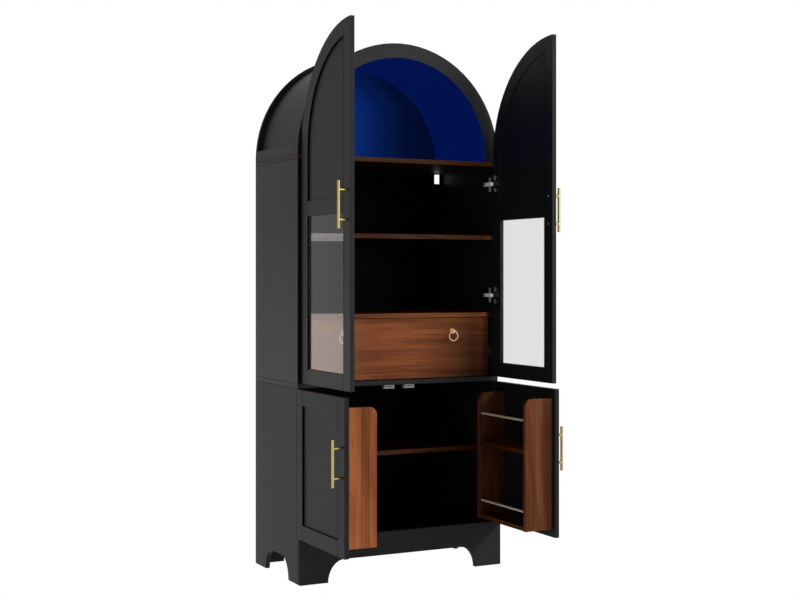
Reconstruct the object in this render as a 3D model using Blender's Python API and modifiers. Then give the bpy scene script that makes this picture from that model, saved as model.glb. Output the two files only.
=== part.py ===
"""Tall arched buffet cabinet: a base with two rack doors, a hutch with a drawer, and a lit arch on top.

Metres, +Z up, the front faces -Y. The origin is on the floor, at the middle of the box that holds the
cabinet with its four doors standing open at right angles.
"""
import math

import bmesh
import bpy
from mathutils import Vector

# Clearances
FIT = 0.0003            # seam left between two pieces that touch
RUN = 0.0005            # running clearance of the drawer on its runners
REVEAL = 0.002          # gap above and below a closed door
MEETING_GAP = 0.003     # gap between the two doors of a pair
DOOR_GAP = 0.003        # gap behind a closed door
DOOR_INSET = 0.001      # how far a closed door stops short of the side's outer face
DRAWER_GAP = 0.002      # gap round the drawer front
EASE = 0.0008           # broken edge on boards

# Boards
WIDTH = 0.800
DEPTH = 0.404
BOARD = 0.016
THIN_BACK = 0.005
APRON = 0.019

# Heights of the stack
FLOOR_TOP = 0.159       # upper face of the bottom board and of the aprons
MIDDLE_UNDER = 0.675    # underside of the middle board
CROWN_UNDER = 1.466     # underside of the board that carries the arch
ARCH_LEG = 0.010        # straight foot of the arch below its centre
SHELF_UNDER = 1.196
DRAWER_TOP_UNDER = 0.912
LOW_SHELF_UNDER = 0.408

# How far boards stand behind the front edge of the sides
SHELF_SETBACK = 0.008
DRAWER_TOP_SETBACK = 0.018
DRAWER_SETBACK = 0.022
LOW_SHELF_SETBACK = 0.125

# Feet
FOOT = 0.107            # width of a foot seen from the front
FOOT_CURVE = 0.062      # run of the curved shoulder beside a foot
FOOT_RISE = 0.077       # height of the cut-out
SIDE_FOOT = 0.085       # width of a foot seen from the side, behind the apron

# Arch
RIM = 0.052             # face width of the front ring
VAULT_DROP = 0.015      # how far the vault skin lies inside the rim
VAULT_SKIN = 0.005
VAULT_RAIL = 0.038      # height of the rail at the foot of the vault
LINING = 0.005          # thickness of the lining, flush with the ring inside
LED_WIDTH = 0.010
LED_THICK = 0.003
LED_RISE = 0.024        # lower end of the light strip above the arch's centre
LED_RUN = 0.310         # length of the light strip along the lining

# Cable hole in the upper back
HOLE_WIDTH = 0.024
HOLE_HEIGHT = 0.037
HOLE_FROM_SIDE = 0.0275
HOLE_BELOW_CROWN = 0.004

# Doors
DOOR = 0.016
FRAME = 0.052           # stiles and rails
PANEL = 0.008
PANEL_RECESS = 0.006
PANEL_FIT = 0.0008      # round an arched panel, whose straight steps dip
GLASS = 0.004
GLASS_RECESS = 0.0065
MID_RAIL_UNDER = 1.265
OPEN_ANGLE = math.radians(90)
UPPER_AXIS_IN = 0.0105      # hinge axis from the side's outer face
UPPER_AXIS_OUT = 0.019      # hinge axis in front of the carcass
LOWER_AXIS_IN = 0.006
LOWER_AXIS_OUT = 0.007

# Handles
BAR_LENGTH = 0.153
BAR_RADIUS = 0.005
POST_SPACING = 0.096
POST_RADIUS = 0.005
BAR_STANDOFF = 0.028
HANDLE_ABOVE_RAIL = 0.025   # middle of an upper handle above the mid rail's lower edge
HANDLE_BELOW_TOP = 0.209    # middle of a lower handle below the door's upper edge

# Concealed hinges
CUP_RADIUS = 0.0175
CUP_DEPTH = 0.0105
CUP_FROM_EDGE = 0.0225
FLANGE_LENGTH = 0.060
FLANGE_WIDTH = 0.018
FLANGE_THICK = 0.0015
ARM_LENGTH = 0.047
ARM_WIDTH = 0.012
ARM_HEIGHT = 0.014
ARM_SETBACK = 0.005
NOSE_WIDTH = 0.012
NOSE_REACH = 0.013      # nose in front of the carcass, inside the cup of a closed door
NOSE_LAP = 0.018        # nose along the arm
WING_SPAN = 0.052
WING_LENGTH = 0.014
WING_HEIGHT = 0.003
WING_SETBACK = 0.021
HINGE_ABOVE_DRAWER = 0.063  # upper hinges: above the drawer's top board, and below the crown board
HINGE_BELOW_CROWN = 0.065
HINGE_ABOVE_FLOOR = 0.086   # lower hinges: above the floor board, and below the middle board
HINGE_BELOW_MIDDLE = 0.085

# Door racks
RACK_FROM_EDGE = 0.050      # from the door's hinge edge
RACK_FROM_MEETING = 0.0195  # from the door's meeting edge
RACK_DEPTH = 0.108
RACK_ABOVE_FLOOR = 0.028
RACK_HEIGHT = 0.453
RACK_BOARD = 0.014
RACK_ROUND = 0.026
RACK_SHELF_RISE = 0.265     # underside of the second shelf above the rack's underside
RACK_SHELF_SETBACK = 0.004
RACK_RAIL_RADIUS = 0.004
RACK_RAIL_RISES = (0.051, 0.0995)   # middle of each rail above its shelf
RACK_RAIL_SETBACK = 0.012

# Magnetic catches under the middle board
CATCH_X = 0.040
CATCH_WIDTH = 0.040
CATCH_DEPTH = 0.020
CATCH_HEIGHT = 0.0145
CATCH_SETBACK = 0.0155

# Drawer
DRAWER_PASS = 0.0025        # each end of the front clear of an open upper door
DRAWER_FRONT = 0.016
DRAWER_SIDE = 0.012
DRAWER_SIDE_GAP = 0.014     # drawer box behind the end of its front
DRAWER_BOX_RISE = 0.012     # box above the lower edge of the front
DRAWER_BOX_DROP = 0.035     # box below the upper edge of the front
DRAWER_BOX_BACK = 0.022     # space behind the drawer box
DRAWER_BOTTOM = 0.005
DRAWER_BOTTOM_RISE = 0.006
RUNNER_HEIGHT = 0.034
RUNNER_RISE = 0.060
TONGUE_DEPTH = 0.005
TONGUE_HEIGHT = 0.010
RUNNER_SETBACK = 0.004

# Ring pulls
PULL_FROM_END = 0.153       # from the end of the drawer front
PULL_BELOW_TOP = 0.049      # from its upper edge
PULL_PROUD = 0.013
ROSE_RADIUS = 0.009
ROSE_THICK = 0.003
NECK_RADIUS = 0.0035
BALL_RADIUS = 0.0075
EYE_RADIUS = 0.0036
RING_RADIUS = 0.0175
RING_WIRE = 0.0019

# Places worked out from the sizes above
HALF = WIDTH / 2
MIDDLE_TOP = MIDDLE_UNDER + BOARD
CROWN_TOP = CROWN_UNDER + BOARD
ARCH_Z = CROWN_TOP + ARCH_LEG
SIDE_IN = HALF - BOARD
DOOR_WIDTH = HALF - DOOR_INSET - MEETING_GAP / 2
UPPER_REACH = UPPER_AXIS_OUT + DOOR_INSET - UPPER_AXIS_IN + DOOR_WIDTH
LOWER_REACH = LOWER_AXIS_OUT + DOOR_INSET - LOWER_AXIS_IN + DOOR_WIDTH
FRONT = (max(UPPER_REACH, LOWER_REACH) - DEPTH) / 2
BACK = FRONT + DEPTH
INSIDE_BACK = BACK - THIN_BACK - FIT
UPPER_DOOR_FACE = HALF - UPPER_AXIS_IN - UPPER_AXIS_OUT + DOOR_GAP      # inner faces of the open doors
LOWER_DOOR_FACE = HALF - LOWER_AXIS_IN - LOWER_AXIS_OUT + DOOR_GAP
UPPER_HINGES_Z = (DRAWER_TOP_UNDER + BOARD + HINGE_ABOVE_DRAWER, CROWN_UNDER - HINGE_BELOW_CROWN)
LOWER_HINGES_Z = (FLOOR_TOP + HINGE_ABOVE_FLOOR, MIDDLE_UNDER - HINGE_BELOW_MIDDLE)
DRAWER_HALF = UPPER_DOOR_FACE - DRAWER_PASS
ROUND_STEPS = 36        # straight steps in a half circle
WIDE_FACETS = 20        # flat sides of a wide turned piece
THIN_FACETS = 14        # flat sides of a thin one
RING_FACETS = (28, 8)   # round a ring, and round its wire
BALL_FACETS = (16, 10)
SIDES = ((-1, "left"), (1, "right"))

BLACK = (0.020, 0.020, 0.021)
WALNUT = (0.150, 0.062, 0.028)
BRASS = (0.620, 0.480, 0.180)
STEEL = (0.620, 0.620, 0.620)
PALE_METAL = (0.720, 0.640, 0.540)
CLEAR = (0.900, 0.930, 0.920)
LIGHT_BLUE = (0.010, 0.090, 0.700)


def clear_scene():
    for thing in list(bpy.data.objects):
        bpy.data.objects.remove(thing, do_unlink=True)


def new_collection(name):
    collection = bpy.data.collections.new(name)
    bpy.context.scene.collection.children.link(collection)
    return collection


clear_scene()
PARTS = new_collection("tall_buffet_cabinet")
CUTTERS = new_collection("cutters")


def finish(obj, colour, roughness, metallic=0.0):
    """Give one piece its own plain material."""
    material = bpy.data.materials.new(obj.name)
    material.use_nodes = True
    shader = material.node_tree.nodes["Principled BSDF"]
    shader.inputs["Base Color"].default_value = (*colour, 1.0)
    shader.inputs["Roughness"].default_value = roughness
    shader.inputs["Metallic"].default_value = metallic
    obj.data.materials.clear()
    obj.data.materials.append(material)


def paint(obj):
    finish(obj, BLACK, 0.38)


def walnut(obj):
    finish(obj, WALNUT, 0.42)


def brass(obj):
    finish(obj, BRASS, 0.28, 1.0)


def steel(obj):
    finish(obj, STEEL, 0.25, 1.0)


def keep(name, bm, parent=None, cutter=False):
    """Turn a bmesh into a named object, in the parent's frame where there is one."""
    bmesh.ops.recalc_face_normals(bm, faces=bm.faces)
    mesh = bpy.data.meshes.new(name)
    bm.to_mesh(mesh)
    bm.free()
    obj = bpy.data.objects.new(name, mesh)
    (CUTTERS if cutter else PARTS).objects.link(obj)
    if cutter:
        obj.hide_render = True
        obj.display_type = "WIRE"
    obj.parent = parent
    return obj


def ease(obj, width=EASE):
    bevel = obj.modifiers.new("eased_edges", "BEVEL")
    bevel.width = width
    bevel.segments = 1
    bevel.limit_method = "ANGLE"
    bevel.angle_limit = math.radians(50)


def add_box(bm, low, high):
    low, high = Vector(low), Vector(high)
    made = bmesh.ops.create_cube(bm, size=1.0)
    bmesh.ops.scale(bm, vec=high - low, verts=made["verts"])
    bmesh.ops.translate(bm, vec=(low + high) / 2, verts=made["verts"])


def boxes(name, corners, parent=None, cutter=False):
    """One object from the low and high corners of one or more boxes."""
    bm = bmesh.new()
    for low, high in corners:
        add_box(bm, [min(a, b) for a, b in zip(low, high)], [max(a, b) for a, b in zip(low, high)])
    return keep(name, bm, parent, cutter)


def board(name, low, high, parent=None):
    obj = boxes(name, [(low, high)], parent)
    ease(obj)
    return obj


def rod(bm, start, end, radius, sides):
    """A closed cylinder between two points."""
    start, end = Vector(start), Vector(end)
    along = end - start
    made = bmesh.ops.create_cone(
        bm, cap_ends=True, segments=sides, radius1=radius, radius2=radius, depth=along.length)
    turn = along.to_track_quat("Z", "Y").to_matrix()
    bmesh.ops.rotate(bm, cent=(0, 0, 0), matrix=turn, verts=made["verts"])
    bmesh.ops.translate(bm, vec=(start + end) / 2, verts=made["verts"])


def arc(centre, radius, start, end):
    """Points along an arc, angles in degrees, at the model's round step."""
    rx, rz = radius if isinstance(radius, tuple) else (radius, radius)
    count = max(2, round(abs(end - start) / 180 * ROUND_STEPS))
    points = []
    for step in range(count + 1):
        angle = math.radians(start + (end - start) * step / count)
        points.append((centre[0] + rx * math.cos(angle), centre[1] + rz * math.sin(angle)))
    return points


def plate(name, outlines, low, high, across="Y", parent=None, more=(), eased=True):
    """A flat outline, with any holes, made solid between two places along Y or X, and again at more."""
    curve = bpy.data.curves.new(name, "CURVE")
    curve.dimensions = "2D"
    curve.fill_mode = "BOTH"
    curve.extrude = abs(high - low) / 2
    for outline in outlines:
        spline = curve.splines.new("POLY")
        spline.points.add(len(outline) - 1)
        for point, (u, v) in zip(spline.points, outline):
            point.co = (u, v, 0.0, 1.0)
        spline.use_cyclic_u = True
    flat = bpy.data.objects.new(name + "_outline", curve)
    PARTS.objects.link(flat)
    bpy.context.view_layer.update()
    mesh = bpy.data.meshes.new_from_object(flat.evaluated_get(bpy.context.evaluated_depsgraph_get()))
    bpy.data.objects.remove(flat, do_unlink=True)
    bpy.data.curves.remove(curve)
    bm = bmesh.new()
    bm.from_mesh(mesh)
    bpy.data.meshes.remove(mesh)
    bmesh.ops.remove_doubles(bm, verts=bm.verts, dist=0.00001)
    middle = (low + high) / 2
    for vert in bm.verts:
        u, v, w = vert.co
        vert.co = (u, middle + w, v) if across == "Y" else (middle + w, u, v)
    bmesh.ops.recalc_face_normals(bm, faces=bm.faces)
    if len(outlines) == 1:
        bmesh.ops.dissolve_limit(bm, angle_limit=math.radians(0.5), verts=bm.verts, edges=bm.edges)
    first = bm.verts[:] + bm.edges[:] + bm.faces[:]
    for start, end in more:
        copy = bmesh.ops.duplicate(bm, geom=first)
        shift = (start + end) / 2 - middle
        moved = [item for item in copy["geom"] if isinstance(item, bmesh.types.BMVert)]
        bmesh.ops.translate(bm, vec=(0, shift, 0) if across == "Y" else (shift, 0, 0), verts=moved)
    obj = keep(name, bm, parent)
    if eased:
        ease(obj)
    return obj


def combine(obj, other, operation):
    """Cut or join with another object by a Boolean that stays on the piece."""
    boolean = obj.modifiers.new(operation.lower(), "BOOLEAN")
    boolean.object = other
    boolean.operation = operation
    boolean.solver = "EXACT"


def pivot(name, place, turn=0.0, parent=None):
    """An empty on a joint's axis."""
    empty = bpy.data.objects.new(name, None)
    empty.location = place
    empty.rotation_euler = (0.0, 0.0, turn)
    empty.parent = parent
    PARTS.objects.link(empty)
    return empty


def foot_cut(low, high):
    """Underside between two feet, from low to high: curved shoulders and a level middle."""
    rise = (FOOT_CURVE, FOOT_RISE)
    return arc((low + FOOT_CURVE, 0.0), rise, 180, 90) + arc((high - FOOT_CURVE, 0.0), rise, 90, 0)


def make_base():
    """Sides with feet, aprons, floor, back, low shelf and the middle board."""
    rear_foot = SIDE_FOOT + APRON
    for side, word in SIDES:
        outline = [(FRONT, 0.0), *foot_cut(FRONT + SIDE_FOOT, BACK - rear_foot), (BACK, 0.0),
                   (BACK, MIDDLE_UNDER - FIT), (FRONT, MIDDLE_UNDER - FIT)]
        paint(plate("base_side_" + word, [outline], side * SIDE_IN, side * HALF, "X"))
    apron = [(-HALF, 0.0), *foot_cut(FOOT - HALF, HALF - FOOT), (HALF, 0.0),
             (HALF, FLOOR_TOP), (-HALF, FLOOR_TOP)]
    paint(plate("front_apron", [apron], FRONT - APRON, FRONT - FIT))
    inner = SIDE_IN - FIT
    rear = [(-inner, 0.0), *foot_cut(FOOT - HALF, HALF - FOOT), (inner, 0.0),
            (inner, FLOOR_TOP - BOARD - FIT), (-inner, FLOOR_TOP - BOARD - FIT)]
    paint(plate("rear_apron", [rear], BACK - BOARD, BACK))
    paint(board("bottom_board", (-inner, FRONT, FLOOR_TOP - BOARD), (inner, INSIDE_BACK, FLOOR_TOP)))
    paint(board("base_back", (-inner, BACK - THIN_BACK, FLOOR_TOP - BOARD),
                (inner, BACK, MIDDLE_UNDER - FIT)))
    walnut(board("base_shelf", (-inner, FRONT + LOW_SHELF_SETBACK, LOW_SHELF_UNDER),
                 (inner, INSIDE_BACK, LOW_SHELF_UNDER + BOARD)))
    paint(board("middle_board", (-HALF, FRONT, MIDDLE_UNDER), (HALF, BACK, MIDDLE_TOP)))
    for side, word in SIDES:
        start = side * CATCH_X - CATCH_WIDTH / 2
        steel(board("magnetic_catch_" + word,
                    (start, FRONT + CATCH_SETBACK, MIDDLE_UNDER - FIT - CATCH_HEIGHT),
                    (start + CATCH_WIDTH, FRONT + CATCH_SETBACK + CATCH_DEPTH, MIDDLE_UNDER - FIT)))


def make_hutch():
    """Upper sides, back with its cable hole, shelves and the walnut board under the arch."""
    inner = SIDE_IN - FIT
    low, high = MIDDLE_TOP + FIT, CROWN_UNDER - FIT
    for side, word in SIDES:
        paint(board("hutch_side_" + word, (side * SIDE_IN, FRONT, low), (side * HALF, BACK, high)))
    outer = [(-inner, low), (inner, low), (inner, high), (-inner, high)]
    hole_right = HALF - HOLE_FROM_SIDE
    hole_top = CROWN_UNDER - HOLE_BELOW_CROWN
    hole = [(hole_right - HOLE_WIDTH, hole_top - HOLE_HEIGHT), (hole_right, hole_top - HOLE_HEIGHT),
            (hole_right, hole_top), (hole_right - HOLE_WIDTH, hole_top)]
    paint(plate("hutch_back", [outer, hole], BACK - THIN_BACK, BACK, eased=False))
    walnut(board("hutch_shelf", (-inner, FRONT + SHELF_SETBACK, SHELF_UNDER),
                 (inner, INSIDE_BACK, SHELF_UNDER + BOARD)))
    walnut(board("drawer_top", (-inner, FRONT + DRAWER_TOP_SETBACK, DRAWER_TOP_UNDER),
                 (inner, INSIDE_BACK, DRAWER_TOP_UNDER + BOARD)))
    walnut(board("crown_board", (-HALF, FRONT, CROWN_UNDER), (HALF, BACK, CROWN_TOP)))


def arch_outline(radius, foot):
    """A half circle on two short legs, from the right foot round to the left foot."""
    return [(radius, foot), *arc((0.0, ARCH_Z), radius, 0, 180), (-radius, foot)]


def arch_band(outer, inner, foot):
    return arch_outline(outer, foot) + arch_outline(inner, foot)[::-1]


def make_arch():
    """Front ring, back plate, the thin vault and its lining between them, foot rails and light strip."""
    foot = CROWN_TOP + FIT
    vault = HALF - VAULT_DROP
    ring_back = FRONT + BOARD
    plate_front = BACK - BOARD
    paint(plate("arch_ring", [arch_band(HALF, HALF - RIM, foot)], FRONT, ring_back))
    paint(plate("arch_back", [arch_outline(HALF, foot)], plate_front, BACK))
    paint(plate("arch_vault", [arch_band(vault, vault - VAULT_SKIN, foot)],
                ring_back + FIT, plate_front - FIT, eased=False))
    for side, word in SIDES:
        paint(board("vault_rail_" + word, (side * (vault + FIT), ring_back + FIT, foot),
                    (side * HALF, plate_front - FIT, foot + VAULT_RAIL)))
    inside = HALF - RIM
    paint(plate("arch_lining", [arch_band(inside + LINING, inside, foot)],
                ring_back + FIT, plate_front - FIT, eased=False))
    strip = inside - PANEL_FIT
    end = 180 - math.degrees(LED_RISE / strip)
    start = end - math.degrees(LED_RUN / strip)
    centre = (0.0, ARCH_Z)
    curve = arc(centre, strip, start, end) + arc(centre, strip - LED_THICK, end, start)
    light = plate("led_strip", [curve], ring_back + FIT, ring_back + FIT + LED_WIDTH, eased=False)
    finish(light, LIGHT_BLUE, 0.5)


def make_hinge_arm(name, side, z, door_face, axis_out):
    """One concealed hinge's arm: a winged plate on the side and a cranked nose that meets the open door."""
    face = SIDE_IN - FIT
    tip = door_face - FIT
    neck = min(tip, face)
    back = FRONT + ARM_SETBACK
    wing = FRONT + WING_SETBACK
    low, high = z - ARM_WIDTH / 2, z + ARM_WIDTH / 2
    arm = boxes(name, [((side * face, back, low),
                        (side * (face - ARM_HEIGHT), back + ARM_LENGTH, high))])
    shapes = [
        ("wings", (face, wing, z - WING_SPAN / 2),
         (face - WING_HEIGHT, wing + WING_LENGTH, z + WING_SPAN / 2)),
        ("nose", (neck, FRONT - NOSE_REACH, low), (neck - NOSE_WIDTH, back + NOSE_LAP, high))]
    if tip > face:
        shapes.append(("tab", (tip, FRONT - NOSE_REACH, low), (neck - NOSE_WIDTH, FRONT - axis_out, high)))
    for word, start, end in shapes:
        corners = [((side * start[0], *start[1:]), (side * end[0], *end[1:]))]
        combine(arm, boxes(name + "_" + word, corners, cutter=True), "UNION")
    ease(arm)
    steel(arm)


def make_hinge_arms():
    levels = (("upper", UPPER_HINGES_Z, UPPER_DOOR_FACE, UPPER_AXIS_OUT),
              ("lower", LOWER_HINGES_Z, LOWER_DOOR_FACE, LOWER_AXIS_OUT))
    for side, word in SIDES:
        for level, heights, door_face, axis_out in levels:
            for place, z in zip(("bottom", "top"), heights):
                make_hinge_arm("_".join((level, word, place, "hinge_arm")), side, z, door_face, axis_out)


def make_drawer(root):
    """Runners, drawer box, walnut front and its two ring pulls."""
    box_half = DRAWER_HALF - DRAWER_SIDE_GAP
    face = FRONT + DRAWER_SETBACK
    front_low = MIDDLE_TOP + DRAWER_GAP
    front_high = DRAWER_TOP_UNDER - DRAWER_GAP
    box_front = face + DRAWER_FRONT + FIT
    box_back = INSIDE_BACK - DRAWER_BOX_BACK
    box_low = front_low + DRAWER_BOX_RISE
    box_high = front_high - DRAWER_BOX_DROP
    runner_low = box_low + RUNNER_RISE
    tongue_low = runner_low + (RUNNER_HEIGHT - TONGUE_HEIGHT) / 2
    tongue_high = tongue_low + TONGUE_HEIGHT
    back = INSIDE_BACK - FIT
    runner_front = box_front + RUNNER_SETBACK
    slide = pivot("drawer_slide", (0.0, face, box_low), parent=root)

    def local(*corner):
        """A corner in the frame of the drawer, which slides."""
        return (corner[0], corner[1] - face, corner[2] - box_low)

    walls = []
    grooves = []
    for side, word in SIDES:
        outer = side * box_half
        seat = side * (box_half + RUN)
        tip = seat - side * TONGUE_DEPTH
        runner = boxes("drawer_runner_" + word, [((seat, runner_front, runner_low),
                       (side * (SIDE_IN - FIT), back, runner_low + RUNNER_HEIGHT))])
        tongue = boxes("runner_tongue_" + word, [((tip, runner_front, tongue_low),
                       (seat + side * TONGUE_DEPTH, back, tongue_high))], cutter=True)
        combine(runner, tongue, "UNION")
        steel(runner)
        walls.append((local(outer, box_front, box_low),
                      local(outer - side * DRAWER_SIDE, box_back, box_high)))
        grooves.append((local(tip - side * RUN, runner_front - RUN, tongue_low - RUN),
                        local(outer + side * TONGUE_DEPTH, BACK, tongue_high + RUN)))

    front = board("drawer_front", local(-DRAWER_HALF, face, front_low),
                  local(DRAWER_HALF, face + DRAWER_FRONT, front_high), slide)
    walnut(front)
    within = box_half - DRAWER_SIDE
    rear = [(local(-within - EASE, box_back - DRAWER_SIDE, box_low),
             local(within + EASE, box_back, box_high))]
    box = boxes("drawer_box", walls, slide)
    combine(box, boxes("drawer_rear", rear, slide, True), "UNION")
    combine(box, boxes("drawer_grooves", grooves, slide, True), "DIFFERENCE")
    walnut(box)
    bottom_low = box_low + DRAWER_BOTTOM_RISE
    walnut(board("drawer_bottom", local(FIT - within, box_front, bottom_low),
                 local(within - FIT, box_back - DRAWER_SIDE - FIT, bottom_low + DRAWER_BOTTOM), slide))
    for side, word in SIDES:
        make_pull(slide, side * (DRAWER_HALF - PULL_FROM_END), front_high - PULL_BELOW_TOP - box_low, word)


def make_pull(slide, x, z, word):
    """A turned boss with an eye through it, and the ring that hangs in the eye."""
    boss = bmesh.new()
    rod(boss, (x, -FIT, z), (x, -FIT - ROSE_THICK, z), ROSE_RADIUS, WIDE_FACETS)
    neck = bmesh.new()
    rod(neck, (x, -FIT - ROSE_THICK / 2, z), (x, -PULL_PROUD, z), NECK_RADIUS, THIN_FACETS)
    ball = bmesh.new()
    bmesh.ops.create_uvsphere(
        ball, u_segments=BALL_FACETS[0], v_segments=BALL_FACETS[1], radius=BALL_RADIUS)
    bmesh.ops.translate(ball, vec=(x, -PULL_PROUD, z), verts=ball.verts)
    eye = bmesh.new()
    rod(eye, (x - BALL_RADIUS - EASE, -PULL_PROUD, z), (x + BALL_RADIUS + EASE, -PULL_PROUD, z),
        EYE_RADIUS, THIN_FACETS)
    body = keep("pull_boss_" + word, boss, slide)
    combine(body, keep("pull_neck_" + word, neck, slide, True), "UNION")
    combine(body, keep("pull_ball_" + word, ball, slide, True), "UNION")
    combine(body, keep("pull_eye_" + word, eye, slide, True), "DIFFERENCE")
    brass(body)
    axis = pivot("pull_axis_" + word, (x, -PULL_PROUD, z), parent=slide)
    bpy.ops.mesh.primitive_torus_add(
        major_radius=RING_RADIUS, minor_radius=RING_WIRE,
        major_segments=RING_FACETS[0], minor_segments=RING_FACETS[1],
        location=(0.0, 0.0, -RING_RADIUS), rotation=(math.pi / 2, 0.0, 0.0))
    ring = bpy.context.object
    ring.name = "pull_ring_" + word
    for holder in list(ring.users_collection):
        holder.objects.unlink(ring)
    PARTS.objects.link(ring)
    ring.parent = axis
    brass(ring)


class Door:
    """Places on one closed door, measured from its hinge axis: along it, through it and up it."""

    def __init__(self, word, side, axis_in, axis_out, root):
        self.side = side
        self.word = word
        self.axis_in = axis_in
        self.inner = axis_out - DOOR_GAP
        self.outer = self.inner - DOOR
        place = (side * (HALF - axis_in), FRONT - axis_out, 0.0)
        self.hinge = pivot(self.word + "_hinge", place, side * OPEN_ANGLE, root)

    def along(self, distance):
        """X in the hinge's frame of a place this far from the door's hinge edge."""
        return self.side * (self.axis_in - DOOR_INSET - distance)

    def name(self, piece):
        return self.word + "_" + piece

    def slab(self, piece, start, end, low, high, outer, inner):
        """One board on the door, between two faces."""
        return board(self.name(piece), (self.along(start), outer, low), (self.along(end), inner, high),
                     self.hinge)

    def outline(self, piece, outlines, outer, inner):
        """A plate on the door from outlines of places along it and heights."""
        placed = [[(self.along(s), z) for s, z in points] for points in outlines]
        return plate(self.name(piece), placed, outer, inner, parent=self.hinge, eased=False)

    def frame(self, outlines, hinge_heights):
        """The door's frame, with the cups of its hinges let into the inner face."""
        made = self.outline("frame", outlines, self.outer, self.inner)
        x = self.along(CUP_FROM_EDGE)
        flanges = []
        bores = bmesh.new()
        for z in hinge_heights:
            flanges.append(((x - FLANGE_WIDTH / 2, self.inner - FLANGE_THICK, z - FLANGE_LENGTH / 2),
                            (x + FLANGE_WIDTH / 2, self.inner + FLANGE_THICK, z + FLANGE_LENGTH / 2)))
            rod(bores, (x, self.inner - CUP_DEPTH, z), (x, self.inner + CUP_DEPTH, z),
                CUP_RADIUS, WIDE_FACETS)
        combine(made, boxes(self.name("cup_flanges"), flanges, self.hinge, True), "UNION")
        combine(made, keep(self.name("cup_bores"), bores, self.hinge, True), "DIFFERENCE")
        ease(made)
        paint(made)


def add_handle(door, height):
    """Round bar on two posts, on the meeting stile."""
    x = door.along(DOOR_WIDTH - FRAME / 2)
    y = door.outer - BAR_STANDOFF
    bar = bmesh.new()
    rod(bar, (x, y, height - BAR_LENGTH / 2), (x, y, height + BAR_LENGTH / 2), BAR_RADIUS, WIDE_FACETS)
    posts = bmesh.new()
    for end in (-1, 1):
        z = height + end * POST_SPACING / 2
        rod(posts, (x, y, z), (x, door.outer - FIT, z), POST_RADIUS, THIN_FACETS)
    handle = keep(door.name("handle"), bar, door.hinge)
    combine(handle, keep(door.name("handle_posts"), posts, door.hinge, True), "UNION")
    ease(handle)
    brass(handle)


def make_upper_door(side, word, root):
    """Quarter-arch door: solid panel above a mid rail, clear glass below it."""
    low = MIDDLE_TOP + REVEAL
    door = Door("upper_" + word, side, UPPER_AXIS_IN, UPPER_AXIS_OUT, root)
    radius = HALF - DOOR_INSET
    inside = radius - FRAME
    centre = (radius, ARCH_Z)

    def turn_at(distance, size):
        """Angle on an arc of this size where it is this far from the hinge edge."""
        return math.degrees(math.acos((distance - radius) / size))

    start, end = FRAME, DOOR_WIDTH - FRAME
    panel_low = MID_RAIL_UNDER + FRAME
    pane_low = low + FRAME

    def arched(gap):
        """The panel's opening, drawn in by a gap."""
        edge = inside - gap
        return [(start + gap, panel_low + gap), *arc(centre, edge, 180, turn_at(end - gap, edge)),
                (end - gap, panel_low + gap)]

    around = [(0.0, low), *arc(centre, radius, 180, turn_at(DOOR_WIDTH, radius)), (DOOR_WIDTH, low)]
    opening = [(start, pane_low), (end, pane_low), (end, MID_RAIL_UNDER), (start, MID_RAIL_UNDER)]
    door.frame([around, arched(0.0), opening], UPPER_HINGES_Z)
    face = door.outer + PANEL_RECESS
    paint(door.outline("panel", [arched(PANEL_FIT)], face, face + PANEL))
    face = door.outer + GLASS_RECESS
    pane = door.slab("glass", start + FIT, end - FIT, pane_low + FIT, MID_RAIL_UNDER - FIT,
                     face, face + GLASS)
    finish(pane, CLEAR, 0.05)
    add_handle(door, MID_RAIL_UNDER + HANDLE_ABOVE_RAIL)


def make_lower_door(side, word, root):
    """Framed door with a flat panel and a walnut rack inside."""
    low = FLOOR_TOP + REVEAL
    high = MIDDLE_UNDER - REVEAL
    door = Door("lower_" + word, side, LOWER_AXIS_IN, LOWER_AXIS_OUT, root)
    start, end = FRAME, DOOR_WIDTH - FRAME
    inside_low, inside_high = low + FRAME, high - FRAME
    around = [(0.0, low), (0.0, high), (DOOR_WIDTH, high), (DOOR_WIDTH, low)]
    opening = [(start, inside_low), (end, inside_low), (end, inside_high), (start, inside_high)]
    door.frame([around, opening], LOWER_HINGES_Z)
    face = door.outer + PANEL_RECESS
    paint(door.slab("panel", start + FIT, end - FIT, inside_low + FIT, inside_high - FIT,
                    face, face + PANEL))
    add_handle(door, high - HANDLE_BELOW_TOP)
    make_rack(door)


def make_rack(door):
    """Two side boards, two shelves and two round guard rails on the inside of a door."""
    seat = door.inner + FIT
    tip = seat + RACK_DEPTH
    low = FLOOR_TOP + RACK_ABOVE_FLOOR
    high = low + RACK_HEIGHT
    first, last = RACK_FROM_EDGE, DOOR_WIDTH - RACK_FROM_MEETING
    profile = [(seat, low), (tip, low),
               *arc((tip - RACK_ROUND, high - RACK_ROUND), RACK_ROUND, 0, 90), (seat, high)]
    spans = [(door.along(near), door.along(near + RACK_BOARD)) for near in (first, last - RACK_BOARD)]
    rack = plate(door.name("rack"), [profile], *spans[0], "X", door.hinge, spans[1:], eased=False)
    overlap = RACK_BOARD / 4
    left, right = door.along(first + RACK_BOARD - overlap), door.along(last - RACK_BOARD + overlap)
    tops = []
    shelves = []
    for under in (low, low + RACK_SHELF_RISE):
        tops.append(under + RACK_BOARD)
        shelves.append(((left, seat, under), (right, tip - RACK_SHELF_SETBACK, tops[-1])))
    combine(rack, boxes(door.name("rack_shelves"), shelves, door.hinge, True), "UNION")
    walnut(rack)
    left, right = door.along(first + RACK_BOARD + FIT), door.along(last - RACK_BOARD - FIT)
    y = tip - RACK_RAIL_SETBACK
    for word, top, rise in zip(("low", "high"), tops, RACK_RAIL_RISES):
        bar = bmesh.new()
        rod(bar, (left, y, top + rise), (right, y, top + rise), RACK_RAIL_RADIUS, THIN_FACETS)
        finish(keep(door.name("rack_" + word + "_rail"), bar, door.hinge), PALE_METAL, 0.3, 1.0)


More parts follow.
